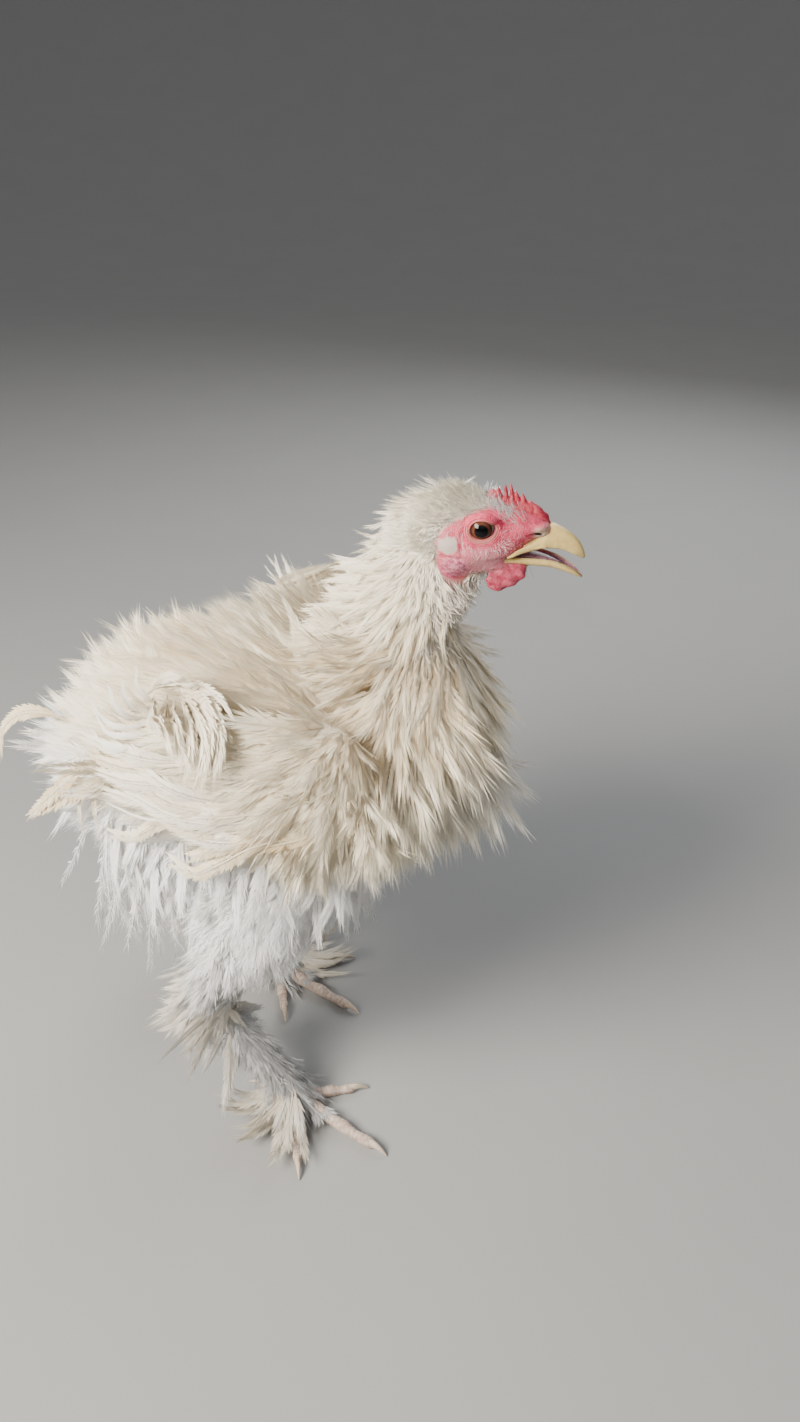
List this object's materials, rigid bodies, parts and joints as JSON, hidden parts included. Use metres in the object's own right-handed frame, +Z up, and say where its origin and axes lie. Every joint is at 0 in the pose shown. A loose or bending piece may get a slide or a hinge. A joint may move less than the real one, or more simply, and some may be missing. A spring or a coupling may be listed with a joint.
{
  "type": "frizzle chicken",
  "caption": "Life-size still model of a white frizzle hen with curled feathers, a small single comb, feathered legs and an open bill, standing on both feet.",
  "frame": {"origin": "middle of the base of the whole bird's box, on the floor she stands on", "axes": "+X the way her body faces, +Y to her left, +Z up"},
  "size_m": [0.3026, 0.2042, 0.3484],
  "materials": {
    "feather": "soft cream white feathers, curled and loose",
    "flight_feather": "stiffer cream white vanes with a faint sheen",
    "bare_skin": "granular pinkish red bare skin with pale bristles",
    "comb": "granular coral red flesh",
    "earlobe": "smooth pale skin",
    "horn": "satin yellow horn",
    "tongue": "moist pinkish purple flesh",
    "scales": "dry tan pink scales with soil in the creases",
    "claw": "worn horn",
    "eye": "wet glossy eye, black pupil in an orange brown iris"
  },
  "bodies": {
    "root": {"head": "bare_skin", "comb": "comb", "upper_bill": "horn", "lower_bill": "horn", "tongue": "tongue", "eye_right": "eye", "eye_left": "eye", "earlobe_right": "earlobe", "earlobe_left": "earlobe", "wattle_right": "comb", "wattle_left": "comb", "neck": "feather", "trunk": "feather", "fluff": "feather", "wing_right": "flight_feather", "wing_left": "flight_feather", "tail": "flight_feather", "thigh_right": "feather", "thigh_left": "feather", "shank_right": "feather", "shank_left": "feather", "foot_right": "scales", "foot_left": "scales", "foot_feathers_right": "feather", "foot_feathers_left": "feather", "toe_hallux_right": "scales", "toe_inner_right": "scales", "toe_middle_right": "scales", "toe_outer_right": "scales", "toe_hallux_left": "scales", "toe_inner_left": "scales", "toe_middle_left": "scales", "toe_outer_left": "scales", "claw_hallux_right": "claw", "claw_inner_right": "claw", "claw_middle_right": "claw", "claw_outer_right": "claw", "claw_hallux_left": "claw", "claw_inner_left": "claw", "claw_middle_left": "claw", "claw_outer_left": "claw"}
  },
  "joints": []
}
